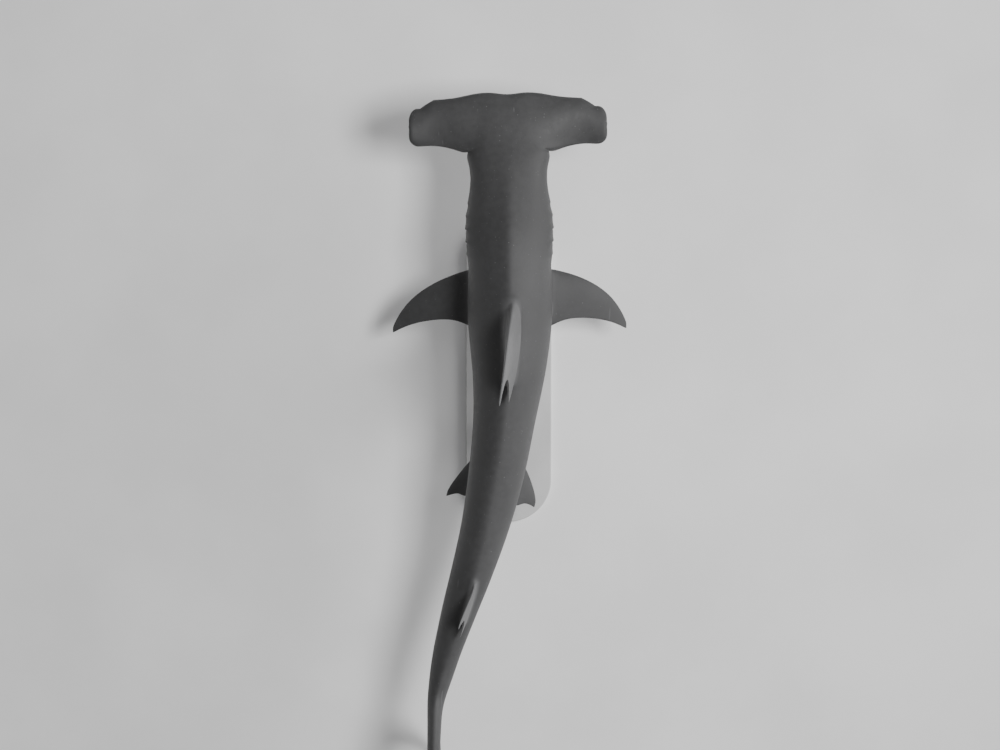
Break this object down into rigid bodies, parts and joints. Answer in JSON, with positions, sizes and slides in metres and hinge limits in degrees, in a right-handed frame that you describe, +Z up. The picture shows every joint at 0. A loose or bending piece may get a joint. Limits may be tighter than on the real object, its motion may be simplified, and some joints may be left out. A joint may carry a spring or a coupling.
{
  "type": "hammerhead shark model",
  "caption": "Life-size still model of a great hammerhead shark in a gentle swimming bend, held by short rods on a flat display base.",
  "frame": {"origin": "on the floor, at the centre of the underside of the stand's base", "axes": "+Z up; +Y from the head towards the tail; +X towards the shark's own left side"},
  "size_m": [0.9064, 3.0822, 1.152],
  "materials": {
    "skin": "satin grey shark skin, darker along the back and pale below, finely speckled",
    "eye": "wet, glossy dark eye with a round pupil",
    "stand_plate": "pale satin paint on a steel plate",
    "stand_rod": "brushed steel rod with a low collar at its foot"
  },
  "bodies": {
    "root": {"head": "skin", "hammer_left": "skin", "hammer_right": "skin", "eye_left": "eye", "eye_right": "eye", "gill_region": "skin", "trunk_front": "skin", "trunk_rear": "skin", "tail_stock": "skin", "caudal_upper": "skin", "caudal_lower": "skin", "dorsal_first": "skin", "dorsal_second": "skin", "anal_fin": "skin", "pectoral_left": "skin", "pectoral_right": "skin", "pelvic_left": "skin", "pelvic_right": "skin", "stand_base": "stand_plate", "stand_rod_front": "stand_rod", "stand_rod_rear": "stand_rod"}
  },
  "joints": []
}
